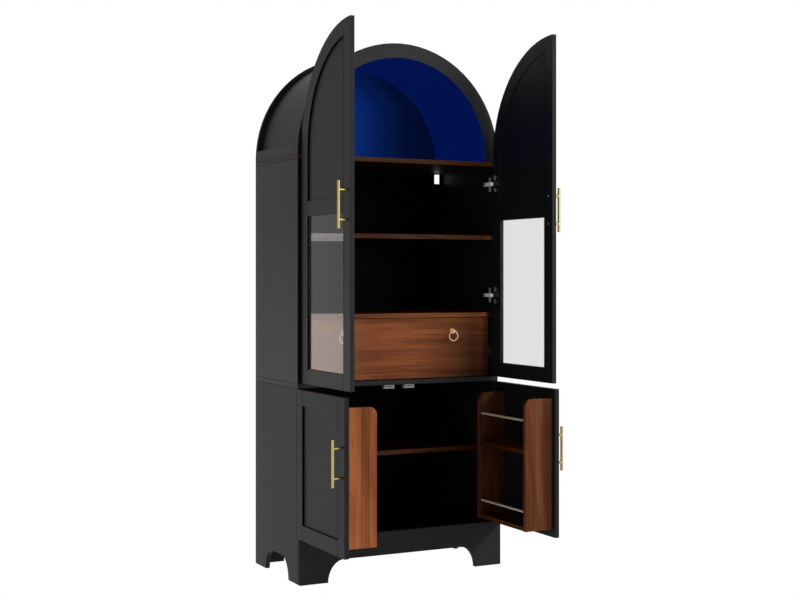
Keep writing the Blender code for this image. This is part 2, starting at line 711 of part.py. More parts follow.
def smooth_round_pieces():
    for obj in PARTS.objects:
        if obj.type == "MESH":
            obj.data.shade_smooth()
            obj.data.set_sharp_from_angle(angle=math.radians(35))


def main():
    root = pivot("cabinet", (0.0, 0.0, 0.0))
    make_base()
    make_hutch()
    make_arch()
    make_hinge_arms()
    make_drawer(root)
    for side, word in SIDES:
        make_upper_door(side, word, root)
        make_lower_door(side, word, root)
    smooth_round_pieces()


main()
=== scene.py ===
# %% [markdown]
# # A tall buffet cabinet, dressed
# The solids of the cabinet come ready made: boards, doors, drawer, hinges and racks, each a named piece that
# moves with its body. This lesson gives them their finishes, adds the small hardware that is too fine for the
# solids, and sets up the studio. Nothing here changes a size.

# %% Load the solids
import math

import bmesh
import bpy
from mathutils import Matrix, Vector


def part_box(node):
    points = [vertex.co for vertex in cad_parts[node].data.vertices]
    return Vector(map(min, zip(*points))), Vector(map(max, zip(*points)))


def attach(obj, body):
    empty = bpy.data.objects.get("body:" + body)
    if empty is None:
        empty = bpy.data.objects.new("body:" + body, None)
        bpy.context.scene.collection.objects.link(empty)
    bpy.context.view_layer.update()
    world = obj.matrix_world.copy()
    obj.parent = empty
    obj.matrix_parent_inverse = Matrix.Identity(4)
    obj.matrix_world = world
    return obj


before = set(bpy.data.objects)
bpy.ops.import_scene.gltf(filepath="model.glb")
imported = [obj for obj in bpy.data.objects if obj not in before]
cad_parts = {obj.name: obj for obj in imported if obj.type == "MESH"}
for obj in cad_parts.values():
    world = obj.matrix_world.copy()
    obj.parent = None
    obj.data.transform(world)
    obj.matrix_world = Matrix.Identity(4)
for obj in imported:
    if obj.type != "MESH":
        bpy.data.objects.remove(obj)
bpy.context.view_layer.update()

# %% [markdown]
# ## The camera
# The photograph was taken with a level camera: upright edges stay upright. A level camera that frames an
# object higher or lower is moved by shifting the lens, not by tilting it, so the camera here keeps a pitch of
# zero and a small vertical shift. Its place, its turn and its focal length were fitted to the straight edges
# of the boards.

# %% Camera
SENSOR = 36.0
PHOTO_WIDTH, PHOTO_HEIGHT = 800.0, 600.0
FOCAL_PIXELS = 1367.4
HORIZON_ROW = 275.8
CAMERA_PLACE = (-2.2096, -4.3499, 1.0627)
CAMERA_TURN = math.radians(-26.862)
camera_data = bpy.data.cameras.new("studio_camera")
camera_data.sensor_fit = "HORIZONTAL"
camera_data.sensor_width = SENSOR
camera_data.lens = FOCAL_PIXELS / PHOTO_WIDTH * SENSOR
camera_data.shift_y = (HORIZON_ROW - PHOTO_HEIGHT / 2) / PHOTO_WIDTH
camera = bpy.data.objects.new("studio_camera", camera_data)
camera.location = CAMERA_PLACE
camera.rotation_euler = (math.radians(90.0), 0.0, CAMERA_TURN)
bpy.context.scene.collection.objects.link(camera)
bpy.context.scene.camera = camera
print("lens:", round(camera_data.lens, 2), "mm, shift:", round(camera_data.shift_y, 4))

# %% [markdown]
# ## The studio
# Black satin paint shows almost nothing of its own colour: what the eye reads is the room mirrored in it. In
# a white room each face that can see the room turns dark grey, and the inside of the cabinet, which only sees
# more black paint, stays black. So the room is pale all round, brightest in front and dimmer to the left and
# overhead. The floor is a large pale sheet. Three cards stand on the left rear: a wide low one brightens the
# sides of the base, a small one shows in the lower half of a pane, and a thin one shows in it at the shelf.

# %% Floor and cards
def stage_sheet(name, half, place, glow):
    """A sheet that glows evenly, part of the studio and not of the cabinet."""
    bm = bmesh.new()
    bmesh.ops.create_grid(bm, x_segments=1, y_segments=1, size=half)
    bmesh.ops.transform(bm, matrix=place, verts=bm.verts)
    mesh = bpy.data.meshes.new(name)
    bm.to_mesh(mesh)
    bm.free()
    sheet = bpy.data.objects.new(name, mesh)
    bpy.context.scene.collection.objects.link(sheet)
    white = bpy.data.materials.new("pale_" + name)
    white.use_nodes = True
    shader = white.node_tree.nodes["Principled BSDF"]
    for socket, value in (("Base Color", (0.0, 0.0, 0.0, 1.0)), ("Roughness", 0.8),
                          ("Specular IOR Level", 0.0), ("Emission Color", (1.0, 1.0, 1.0, 1.0)),
                          ("Emission Strength", glow)):
        shader.inputs[socket].default_value = value
    mesh.materials.append(white)


FLOOR_GLOW, LOW_CARD_GLOW, PANE_CARD_GLOW, SHELF_CARD_GLOW = 1.0, 1.53, 1.60, 1.55
FLOOR_HALF, LOW_CARD_HALF, SMALL_CARD_HALF = 30.0, 2.2, 0.45
UNDER_FEET = Matrix.Translation((0.0, 0.0, -0.0004))
UPRIGHT = Matrix.Rotation(math.radians(27.0), 4, "Z") @ Matrix.Rotation(math.radians(90.0), 4, "X")
LOW_PLACE = Matrix.Translation((-3.3, 5.6, -2.3)) @ UPRIGHT
PANE_PLACE = Matrix.Translation((-3.3, 5.55, 0.31)) @ UPRIGHT @ Matrix.Diagonal((1.35, 1.0, 1.0, 1.0))
SHELF_PLACE = Matrix.Translation((-3.3, 5.5, 1.370)) @ UPRIGHT @ Matrix.Diagonal((1.6, 0.069, 1.0, 1.0))
stage_sheet("floor", FLOOR_HALF, UNDER_FEET, FLOOR_GLOW)
stage_sheet("low_card", LOW_CARD_HALF, LOW_PLACE, LOW_CARD_GLOW)
stage_sheet("pane_card", SMALL_CARD_HALF, PANE_PLACE, PANE_CARD_GLOW)
stage_sheet("shelf_card", SMALL_CARD_HALF, SHELF_PLACE, SHELF_CARD_GLOW)
print("floor and cards laid")

# %% [markdown]
# The room's brightness is a sum of three fades, one for each axis of the direction that is looked in. A fade
# holds the direction's part where it starts and ends, and the brightness at both.

# %% Room
ROOM_FADES = {"X": (-0.45, 0.15, 0.52, 1.0), "Y": (0.0, -0.9, 0.0, 0.45), "Z": (0.24, 0.80, 0.0, -0.6)}
world = bpy.data.worlds.new("white_room")
world.use_nodes = True
room = world.node_tree
walls = room.nodes["Background"]
walls.inputs["Color"].default_value = (1.0, 1.0, 1.0, 1.0)
way = room.nodes.new("ShaderNodeTexCoord")
split = room.nodes.new("ShaderNodeSeparateXYZ")
room.links.new(way.outputs["Generated"], split.inputs[0])
strength = walls.inputs["Strength"]
for axis, stops in ROOM_FADES.items():
    fade = room.nodes.new("ShaderNodeMapRange")
    for socket, stop in zip(("From Min", "From Max", "To Min", "To Max"), stops):
        fade.inputs[socket].default_value = stop
    total = room.nodes.new("ShaderNodeMath")
    total.inputs[1].default_value = 0.0
    room.links.new(split.outputs[axis], fade.inputs["Value"])
    room.links.new(fade.outputs[0], total.inputs[0])
    room.links.new(total.outputs[0], strength)
    strength = total.inputs[1]
bpy.context.scene.world = world
bpy.context.scene.view_settings.view_transform = "Standard"
print("room fades along", ", ".join(ROOM_FADES))

# %% [markdown]
# Two lamps finish the studio. A soft lamp high on the right lights the wood, and a sheet in front is only
# mirrored, by the faces that look forward.

# %% Lamps
def soft_lamp(name, place, target, size, watts, mirrored):
    """A square lamp that either lights what it falls on or only shows as a reflection."""
    data = bpy.data.lights.new(name, "AREA")
    data.shape = "SQUARE"
    data.size = size
    data.energy = watts
    lamp = bpy.data.objects.new(name, data)
    lamp.location = place
    aim = Vector(target) - Vector(place)
    lamp.rotation_euler = aim.to_track_quat("-Z", "Y").to_euler()
    lamp.visible_glossy = mirrored
    lamp.visible_diffuse = not mirrored
    lamp.visible_camera = False
    bpy.context.scene.collection.objects.link(lamp)
    print(name, "aims at", target)


soft_lamp("right_lamp", (4.2, -2.1, 3.6), (0.0, 0.0, 0.6), 1.0, 420.0, False)
soft_lamp("front_sheet", (2.4, -4.6, 2.0), (0.0, 0.0, 1.0), 2.6, 32.0, True)

# %% [markdown]
# ## Writing shaders as sums
# A finish is easier to read as an expression than as a drawing of boxes and wires. The class below wraps one
# output of a node. Adding, multiplying or comparing two of them adds a Math node and gives back its output,
# so `0.3 + 0.1 * noise` is a roughness that wanders with a noise.

# %% Values
class Value:
    """One socket of a material, ready for arithmetic."""

    def __init__(self, finish, socket):
        self.finish = finish
        self.socket = socket

    def math(self, operation, *others):
        return self.finish.node("ShaderNodeMath", {"operation": operation}, dict(enumerate((self, *others))))

    def __add__(self, other):
        return self.math("ADD", other)

    __radd__ = __add__

    def __sub__(self, other):
        return self.math("SUBTRACT", other)

    def __rsub__(self, other):
        return self.finish.node("ShaderNodeMath", {"operation": "SUBTRACT"}, {0: other, 1: self})

    def __mul__(self, other):
        return self.math("MULTIPLY", other)

    __rmul__ = __mul__

    def __abs__(self):
        return self.math("ABSOLUTE")

    def __lt__(self, other):
        return self.math("LESS_THAN", other)

    def __gt__(self, other):
        return self.math("GREATER_THAN", other)


print("values ready")

# %% [markdown]
# A finish is one material. Its `node` method adds any node, and the short methods below it add the few kinds
# that the finishes share: a place on the piece, a noise, a mix of two colours, a ramp and a bump.

# %% Finishes
class Finish:
    """A material with a Principled shader and a short way to add nodes."""

    def __init__(self, name):
        self.material = bpy.data.materials.new(name)
        self.material.use_nodes = True
        self.tree = self.material.node_tree
        self.shader = self.tree.nodes["Principled BSDF"]

    def node(self, kind, settings, sockets, output=0):
        """Add a node: settings first, then the values or links of its sockets."""
        made = self.tree.nodes.new(kind)
        for key, setting in settings.items():
            if key == "stops":
                ramp = made.color_ramp
                while len(ramp.elements) < len(setting):
                    ramp.elements.new(0.5)
                for element, (place, colour) in zip(ramp.elements, setting):
                    element.position = place
                    element.color = (*colour, 1.0)
            else:
                setattr(made, key, setting)
        for key, value in sockets.items():
            self.put(made.inputs[key], value)
        return Value(self, made.outputs[output])

    def put(self, socket, value):
        if isinstance(value, Value):
            self.tree.links.new(value.socket, socket)
        else:
            socket.default_value = value

    def set(self, **sockets):
        """Set sockets of the shader, by name with underscores for spaces."""
        for key, value in sockets.items():
            self.put(self.shader.inputs[key.replace("_", " ")], value)

    def place(self):
        return self.node("ShaderNodeTexCoord", {}, {}, "Object")

    def axes(self):
        split = self.node("ShaderNodeSeparateXYZ", {}, {0: self.place()})
        outputs = split.socket.node.outputs
        return [Value(self, outputs[index]) for index in range(3)]

    def noise(self, scale, stretch=(1.0, 1.0, 1.0), start=(0.0, 0.0, 0.0), detail=3.0, twist=0.0):
        """Noise on the piece's own coordinates, stretched along an axis where stretch is small."""
        spot = self.node("ShaderNodeMapping", {},
                         {"Vector": self.place(), "Location": start, "Scale": stretch})
        return self.node("ShaderNodeTexNoise", {},
                         {"Vector": spot, "Scale": scale, "Detail": detail, "Distortion": twist})

    def mix(self, amount, first, second):
        """Colour from first to second."""
        return self.node("ShaderNodeMix", {"data_type": "RGBA"}, {0: amount, 6: first, 7: second}, 2)

    def ramp(self, amount, stops):
        return self.node("ShaderNodeValToRGB", {"stops": stops}, {0: amount})

    def bump(self, height, strength=0.05, distance=0.0004):
        """A shallow relief."""
        return self.node("ShaderNodeBump", {}, {"Height": height, "Strength": strength, "Distance": distance})


def colour(red, green, blue):
    return (red, green, blue, 1.0)


print("finishes ready")

# %% [markdown]
# ## Satin black paint
# The boards are sprayed. Sprayed paint is not a mirror: fine stipple scatters the reflection, and the gloss
# wanders a little over a board. The base colour is close to nothing, so the room's reflection makes the grey.
# An edge that sees no room stands in shade, and that shade is painted: the edge turns dead black, a metal of
# that colour that mirrors nothing when it is seen from the front.

# %% Paint
PAINT = colour(0.0055, 0.0055, 0.0058)
PAINT_WORN = colour(0.0105, 0.0105, 0.0110)
# Painted shade: the paint inside the cabinet has a far darker base than the paint outside.
SHADED_INSIDE_PAINT = colour(0.0005, 0.0005, 0.0005)
SHADED_INSIDE_PAINT_WORN = colour(0.0012, 0.0012, 0.0012)
REAR_PAINT = colour(0.026, 0.026, 0.0265)
APRON_PAINT = colour(0.011, 0.011, 0.0115)
APRON_PAINT_WORN = colour(0.020, 0.020, 0.0205)
# Painted shade: the black of edges and faces that stand in shade.
PAINTED_SHADE_BLACK = colour(0.004, 0.004, 0.004)
SHINE, BASE_SHINE, DULL_SHINE = 0.155, 0.10, 0.02
SKIN = 0.0006           # how deep a face reaches when a finish picks it out
SHADOW_SHARE = 0.55


def paint_layers(finish, dark=PAINT, light=PAINT_WORN):
    """Colour, roughness and stipple height of the paint."""
    cloud = finish.noise(5.0, detail=4.0)
    stipple = finish.noise(900.0, detail=2.0)
    tone = finish.mix(cloud, dark, light)
    rough = 0.36 + 0.08 * cloud + 0.04 * stipple
    return tone, rough, stipple


def black_paint(name, shine, dark=PAINT, light=PAINT_WORN):
    finish = Finish(name)
    tone, rough, stipple = paint_layers(finish, dark, light)
    finish.set(Base_Color=tone, Roughness=rough, Normal=finish.bump(stipple), Specular_IOR_Level=shine)
    return finish.material


paint = black_paint("satin_black_paint", SHINE)
base_paint = black_paint("satin_base_paint", BASE_SHINE)
apron_paint = black_paint("matt_apron_paint", DULL_SHINE, APRON_PAINT, APRON_PAINT_WORN)
print("paint ready")

# %% [markdown]
# Two kinds of piece need more than one black. The front edge of an upper side stands in the shadow of the
# open door, and that shadow is painted on it. The backs and the floor of the cabinet are painted darker and
# duller inside, as painted shade, than on the face that looks to the rear.

# %% Paint in shadow
def side_paint(node):
    """Paint of an upper side, whose front edge stands in the shadow of the open door."""
    finish = Finish("paint_" + node)
    tone, rough, stipple = paint_layers(finish)
    # Painted shadow of the open door on the side's front edge.
    edge = finish.axes()[1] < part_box(node)[0][1] + SKIN
    finish.set(Base_Color=finish.mix(edge, tone, PAINTED_SHADE_BLACK), Metallic=SHADOW_SHARE * edge, Roughness=rough,
               Normal=finish.bump(stipple), Specular_IOR_Level=SHINE)
    return finish.material


def shaded_inside_paint(node):
    """Dull black painted darker inside the cabinet as painted shade, and a greyer black on the face that
    looks to the rear.
    """
    finish = Finish("shaded_dull_" + node)
    tone, rough, stipple = paint_layers(finish, SHADED_INSIDE_PAINT, SHADED_INSIDE_PAINT_WORN)
    # Painted shade everywhere inside, except on the face that looks to the rear.
    rear = finish.axes()[1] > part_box(node)[1][1] - SKIN
    finish.set(Base_Color=finish.mix(rear, tone, REAR_PAINT), Roughness=rough, Normal=finish.bump(stipple),
               Specular_IOR_Level=DULL_SHINE)
    return finish.material


print("shadowed paint ready")

# %% [markdown]
# Door frames also carry the plated hinge cups let into them, so their finish turns to metal there: dull dark
# metal in the cup and on the flange, with a painted highlight along the rear edge of the flange. On the left
# doors the narrow edge round an opening faces into the panel, and is painted dead black as painted shade. It
# runs a stile's width in from the hinge edge, straight below the middle of the arch and round above it.

# %% Frame paint
NICKEL = colour(0.75, 0.74, 0.72)
DULL_NICKEL = colour(0.10, 0.10, 0.10)
ARCH_MIDDLE_Z = 1.492
DOOR_REACH, STILE_WIDTH = 0.399, 0.052
OPENING_EDGE = 0.0008
CUP_RADIUS, CUP_DEPTH = 0.0178, 0.0115
FLANGE_HALF_WIDTH, FLANGE_HALF_HEIGHT, FLANGE_HIGHLIGHT_FROM = 0.0092, 0.0302, 0.0040


def frame_paint(name, shine, cups, hinge_edge):
    """Paint with bare metal on the hinge cups at (y, z, face)."""
    finish = Finish(name)
    tone, rough, stipple = paint_layers(finish)
    x, y, z = finish.axes()
    along = y - (hinge_edge - DOOR_REACH)
    rise = (z - ARCH_MIDDLE_Z).math("MAXIMUM", 0.0)
    reach = (along * along + rise * rise).math("SQRT")
    # Painted shade: the opening edge of the left doors only is turned black.
    edge = (abs(reach - (DOOR_REACH - STILE_WIDTH)) < OPENING_EDGE) * (x < 0.0)
    metal, bright = 0.0, 0.0
    for place, height, face in cups:
        across = y - place
        up = z - height
        near = ((across * across + up * up) < CUP_RADIUS ** 2) * (abs(x) < face + CUP_DEPTH)
        plate = (abs(across) < FLANGE_HALF_WIDTH) * (abs(up) < FLANGE_HALF_HEIGHT) * (abs(x) < face)
        metal = metal + near.math("MAXIMUM", plate)
        # Painted highlight along the rear edge of each flange.
        bright = bright + plate * (across > FLANGE_HIGHLIGHT_FROM)
    tone = finish.mix(metal, tone, finish.mix(bright, DULL_NICKEL, NICKEL))
    finish.set(Base_Color=finish.mix(edge, tone, PAINTED_SHADE_BLACK), Roughness=rough - 0.24 * metal,
               Metallic=(metal - 0.7 * bright).math("MAXIMUM", edge), Normal=finish.bump(stipple),
               Specular_IOR_Level=shine)
    return finish.material


print("frame paint ready")

# %% [markdown]
# ## Walnut
# Sawn walnut shows three things at once: wide wandering bands where the saw crossed the growth rings, fine
# fibres that run the length of the board, and short dark pores. All three are noises stretched along the
# grain, so one function serves every board: it takes the direction of the grain and a start, so that no two
# boards match.

# %% Grain
WALNUT_TONES = ((0.330, 0.134, 0.046), (0.180, 0.052, 0.014), (0.064, 0.013, 0.003))
PORE_TONE = colour(0.028, 0.009, 0.004)
GRAINS = {"X": (0.09, 1.0, 1.0), "Y": (1.0, 0.09, 1.0), "Z": (1.0, 1.0, 0.09)}


def grain_layers(finish, along, start, depth=1.0):
    """Colour, roughness and height of walnut with its grain along an axis, darker where depth is small."""
    light, middle, dark = [tuple(part * depth for part in tone) for tone in WALNUT_TONES]
    long = GRAINS[along]
    fibre_way = tuple(0.012 if part < 1.0 else 1.0 for part in long)
    pore_way = tuple(0.045 if part < 1.0 else 1.0 for part in long)
    wander = finish.noise(7.0, long, start, 3.0, 0.7)
    bands = (wander * 46.0).math("SINE") * 0.5 + 0.5
    broad = finish.noise(3.0, long, start, 2.0, 0.3)
    fibre = finish.noise(170.0, fibre_way, start, 5.0)
    pores = finish.noise(520.0, pore_way, start, 2.0)
    pore = (pores > 0.66) * (fibre > 0.42)
    shade = 0.18 * bands + 0.42 * broad + 0.50 * fibre - 0.095
    tone = finish.ramp(shade, [(0.18, dark), (0.52, middle), (0.86, light)])
    tone = finish.mix(pore * 0.6, tone, PORE_TONE)
    rough = 0.44 + 0.12 * fibre + 0.12 * pore
    return tone, rough, fibre - 1.5 * pore


print("grain runs along", ", ".join(GRAINS))

# %% [markdown]
# Inside the cabinet the light falls off, and a board is painted much darker behind its front edge than on it,
# as painted shade. The drawer's front is painted darker towards its lower right corner, the painted shadow of
# the open right door, and palest at its left end, a painted pool of light.

# %% Boards
# A near-black walnut: painted shade inside the cabinet, and the dark of heartwood in the left rack's streak.
HEARTWOOD_AND_SHADE_WALNUT = colour(0.0030, 0.0009, 0.0003)
LIT_WALNUT = colour(0.520, 0.260, 0.100)
EDGE_DEPTH = 0.0012
GRAIN_STRENGTH, WOOD_SHINE = 0.10, 0.08
DRAWER_SHADOW_FROM, DRAWER_SHADOW_LEVEL, DRAWER_SHADOW_SLOPE, DRAWER_SHADOW_RATE = 0.075, 0.80, 0.6, 2.7
DRAWER_LIGHT_FROM, DRAWER_LIGHT_RATE, DRAWER_LIGHT_MOST = -0.10, 1.4, 0.30
DRAWER_TOP_SHADE_FROM = 0.3640
CROWN_SHADOW_END, CROWN_END = 0.3700, 0.3990
CROWN_START, CROWN_DEPTH = (0.3, 0.1, 0.7), 0.40


def walnut(name, start, depth, shaded):
    """Walnut whose faces behind its front edge are painted darker by a share, the painted shade inside the
    cabinet.
    """
    finish = Finish(name)
    tone, rough, height = grain_layers(finish, "X", start, depth)
    x, y, z = finish.axes()
    if shaded:
        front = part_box(name[len("walnut_"):])[0][1]
        # Painted shade behind the board's front edge.
        tone = finish.mix(shaded * (y > front + EDGE_DEPTH), tone, HEARTWOOD_AND_SHADE_WALNUT)
    if name == "walnut_drawer_front":
        # Painted shadow of the open right door, darkest towards the drawer front's lower right corner.
        drawer_shadow = (DRAWER_SHADOW_RATE * (x - DRAWER_SHADOW_FROM + DRAWER_SHADOW_SLOPE * (DRAWER_SHADOW_LEVEL - z))).math("MAXIMUM", 0.0)
        tone = finish.mix(drawer_shadow, tone, HEARTWOOD_AND_SHADE_WALNUT)
        # Painted light, palest towards the drawer front's left end.
        drawer_light = (DRAWER_LIGHT_RATE * (DRAWER_LIGHT_FROM - x)).math("MAXIMUM", 0.0).math("MINIMUM", DRAWER_LIGHT_MOST)
        tone = finish.mix(drawer_light, tone, LIT_WALNUT)
    # Painted shade at the right end of the drawer's top board.
    if name == "walnut_drawer_top":
        tone = finish.mix(0.8 * (abs(x) > DRAWER_TOP_SHADE_FROM), tone, HEARTWOOD_AND_SHADE_WALNUT)
    finish.set(Base_Color=tone, Roughness=rough, Normal=finish.bump(height, GRAIN_STRENGTH),
               Specular_IOR_Level=WOOD_SHINE)
    return finish.material


def crown_walnut(name):
    """Walnut whose two ends are painted black with the cabinet's sides, and which is painted darker behind
    its front edge and near its ends, as painted shade.
    """
    finish = Finish(name)
    tone, rough, height = grain_layers(finish, "X", CROWN_START, CROWN_DEPTH)
    black, satin, stipple = paint_layers(finish)
    x, y, _ = finish.axes()
    end = abs(x) > CROWN_END
    # Painted shade behind the front edge and near both ends.
    behind = 0.85 * (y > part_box("crown_board")[0][1] + EDGE_DEPTH)
    shadow = behind.math("MAXIMUM", 0.75 * (abs(x) > CROWN_SHADOW_END))
    tone = finish.mix(shadow, tone, HEARTWOOD_AND_SHADE_WALNUT)
    relief = height + end * (0.5 * stipple - height)
    finish.set(Base_Color=finish.mix(end, tone, black), Roughness=rough + end * (satin - rough),
               Normal=finish.bump(relief, GRAIN_STRENGTH), Specular_IOR_Level=0.12)
    return finish.material


print("boards ready")

# %% [markdown]
# A rack is one solid with two directions of grain: upright in its side boards, and along the door in the
# shelves between them. The edges that look out of the door stay bright, and the rest is half in shadow. On
# the left rack a darker streak runs up the side boards, as heartwood does.

# %% Racks
RACK_WALL = 0.0141
HEART_FROM, HEART_TO = 0.0256, 0.0566


def inside(value, low, high):
    """One between two limits, nought elsewhere."""
    return (value > low) * (value < high)


def rack_walnut(side, start, depth, heart):
    """Walnut of a rack, its upright boards darkened by a share along the streak."""
    finish = Finish("walnut_rack_" + side)
    upright, rough, height = grain_layers(finish, "Z", start, depth)
    level, level_rough, level_height = grain_layers(finish, "Y", start, depth)
    low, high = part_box("lower_%s_rack" % side)
    x, y, _ = finish.axes()
    shelf = inside(y, low[1] + RACK_WALL, high[1] - RACK_WALL)
    near = min(abs(low[0]), abs(high[0]))
    bright = (y < low[1] + EDGE_DEPTH).math("MAXIMUM", 0.85 * (abs(x) < near + EDGE_DEPTH))
    streak = heart * inside(abs(x), near + HEART_FROM, near + HEART_TO)
    upright = finish.mix(streak, upright, HEARTWOOD_AND_SHADE_WALNUT)
    tone = finish.mix(0.50 - 0.50 * bright, finish.mix(shelf, upright, level), HEARTWOOD_AND_SHADE_WALNUT)
    relief = height + shelf * (level_height - height)
    finish.set(Base_Color=tone, Roughness=rough + shelf * (level_rough - rough),
               Normal=finish.bump(relief, GRAIN_STRENGTH), Specular_IOR_Level=WOOD_SHINE)
    return finish.material


print("racks ready")

# %% [markdown]
# ## Metals
# The handles are brushed brass, and the pulls are brighter, with a rosier ring. Runners and screws are nickel
# plated. Brushing leaves fine lines along the bar, made here by a noise that is stretched along it and pushes
# both the roughness and the height.

# %% Brushed metal
def brushed(name, tone, dark, rough, stretch):
    finish = Finish(name)
    lines = finish.noise(1400.0, stretch, detail=3.0)
    cloud = finish.noise(30.0, detail=2.0)
    finish.set(Base_Color=finish.mix(0.35 * lines + 0.35 * cloud, tone, dark), Metallic=1.0,
               Roughness=rough + 0.10 * lines, Normal=finish.bump(lines, 0.06, 0.0002))
    return finish.material


BAR_WAY, RING_WAY, RUNNER_WAY = (1.0, 1.0, 0.03), (0.3, 0.3, 0.3), (1.0, 0.05, 1.0)
brass = brushed("brushed_brass", colour(0.57, 0.46, 0.175), colour(0.40, 0.31, 0.10), 0.24, BAR_WAY)
pull_brass = brushed("bright_brass", colour(0.98, 0.86, 0.38), colour(0.74, 0.60, 0.20), 0.30, RING_WAY)
ring_brass = brushed("rose_brass", colour(0.95, 0.70, 0.48), colour(0.72, 0.49, 0.31), 0.30, RING_WAY)
nickel = brushed("nickel_plate", colour(0.66, 0.65, 0.63), colour(0.42, 0.42, 0.41), 0.20, RUNNER_WAY)
print("brass and nickel ready")

# %% [markdown]
# The other metals are duller. Hinge arms are satin zinc, and the wings behind them are painted darker, a
# painted shade. The guard rails of the racks are a pale champagne metal, and the magnetic catches are grey,
# with a dark slot along the front.

# %% Dull metal
WING_FACE, ARM_FACE = 0.3807, 0.3697
WING_SKIN = 0.0015
RAIL_WAY = (1.0, 0.03, 1.0)
SLOT_LOW, SLOT_HIGH, SLOT_LEFT, SLOT_RIGHT = 0.0062, 0.0085, 0.003, 0.006
zinc_finish = Finish("satin_zinc")
zinc_cloud = zinc_finish.noise(60.0, detail=3.0)
# Painted shade: the wings are given a darker grey than the arm.
shaded_wing = abs(zinc_finish.axes()[0]) > WING_FACE - WING_SKIN
zinc_tone = zinc_finish.mix(zinc_cloud, colour(0.95, 0.95, 0.94), colour(0.80, 0.80, 0.79))
zinc_finish.set(Base_Color=zinc_finish.mix(shaded_wing, zinc_tone, colour(0.30, 0.30, 0.30)),
                Metallic=0.10, Roughness=0.32 + 0.16 * zinc_cloud)
zinc = zinc_finish.material
rail_finish = Finish("champagne_rail")
rail_lines = rail_finish.noise(1400.0, RAIL_WAY, detail=3.0)
rail_finish.set(Base_Color=rail_finish.mix(rail_lines, colour(0.62, 0.52, 0.41), colour(0.44, 0.36, 0.28)),
                Metallic=0.25, Roughness=0.30 + 0.15 * rail_lines)
rail_metal = rail_finish.material


def catch_grey(node):
    """A grey catch with a dark slot along its front, above its lower lip."""
    finish = Finish("grey_" + node)
    low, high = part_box(node)
    x, y, z = finish.axes()
    cloud = finish.noise(80.0, detail=3.0)
    slot = inside(z, low[2] + SLOT_LOW, low[2] + SLOT_HIGH) * (y < low[1] + SKIN)
    slot = slot * inside(x, low[0] + SLOT_LEFT, high[0] - SLOT_RIGHT)
    tone = finish.mix(cloud, colour(0.36, 0.36, 0.36), colour(0.26, 0.26, 0.26))
    finish.set(Base_Color=finish.mix(slot, tone, colour(0.02, 0.02, 0.02)), Roughness=0.40 + 0.15 * cloud,
               Specular_IOR_Level=0.2)
    return finish.material


print("zinc, champagne and grey ready")

# %% [markdown]
# ## Glass
# The panes are clear float glass. A closed slab with transmission bends the light in and out again, which is
# all that a flat pane does, and it mirrors the white room faintly. The cut edges are bedded in the frame, so
# no light comes in through them: there the glass turns to dark metal. Both panes lie at the same heights and
# depths, and share one finish.

# %% Panes
PANE_EDGE = 0.0005
CLEAR, BEDDED = colour(0.812, 0.813, 0.811), colour(0.02, 0.02, 0.02)
glass_finish = Finish("clear_glass")
smear = glass_finish.noise(6.0, detail=2.0)
pane_low, pane_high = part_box("upper_left_glass")
_, y, z = glass_finish.axes()
within = inside(y, pane_low[1] + PANE_EDGE, pane_high[1] - PANE_EDGE)
within = within * inside(z, pane_low[2] + PANE_EDGE, pane_high[2] - PANE_EDGE)
glass_finish.set(Base_Color=glass_finish.mix(within, BEDDED, CLEAR), Metallic=1.0 - within,
                 Transmission_Weight=1.0, IOR=1.28, Roughness=0.01 * smear)
glass = glass_finish.material
print("glass ready")

# %% [markdown]
# ## The lit arch
# A strip behind the ring fills the arch with deep blue light. The ring hides the strip from the camera: what
# shows is the painted vault and back, lit from the left. Their glow is given to the surfaces themselves, as
# an emission that fades across the back, so it looks the same from every side and in every pose.

# %% Light
LINING_RADIUS = 0.348
UNLIT = colour(0.0, 0.0, 0.0)
VAULT_GLOW = colour(0.0003, 0.0060, 0.0720)
BACK_GLOW = [(0.12, (0.0, 0.026, 0.205)), (0.50, (0.0, 0.0185, 0.147)), (0.60, (0.0, 0.0090, 0.075)),
             (0.72, (0.0, 0.0036, 0.0290)), (0.88, (0.0, 0.0020, 0.0150))]
BACK_SKIN = 0.0004
FADE_LEVEL, FADE_SLOPE = 1.72, 1.1


def arch_distance(finish):
    """Distance from the middle of the arch, seen from the front."""
    x, _, z = finish.axes()
    rise = (z - ARCH_MIDDLE_Z).math("MAXIMUM", 0.0)
    return (x * x + rise * rise).math("SQRT")


def lit_round(name, edge, shine, doors=1.0):
    """Paint that glows where it faces into the arch, nearer to the middle than an edge.

    Its front is painted darker outside the open doors, which stand at a distance from the middle: a painted
    shade.
    """
    finish = Finish(name)
    tone, rough, stipple = paint_layers(finish)
    x, y, _ = finish.axes()
    lit = arch_distance(finish) < edge
    # Painted shade on the ring's front outside the doors.
    shaded = (abs(x) > doors) * (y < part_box("arch_ring")[0][1] + SKIN)
    tone = finish.mix(shaded, tone, PAINTED_SHADE_BLACK)
    finish.set(Base_Color=finish.mix(lit, tone, SHADED_INSIDE_PAINT), Metallic=SHADOW_SHARE * shaded,
               Roughness=rough, Normal=finish.bump(stipple), Specular_IOR_Level=shine,
               Emission_Color=finish.mix(lit, UNLIT, VAULT_GLOW), Emission_Strength=1.0)
    return finish.material


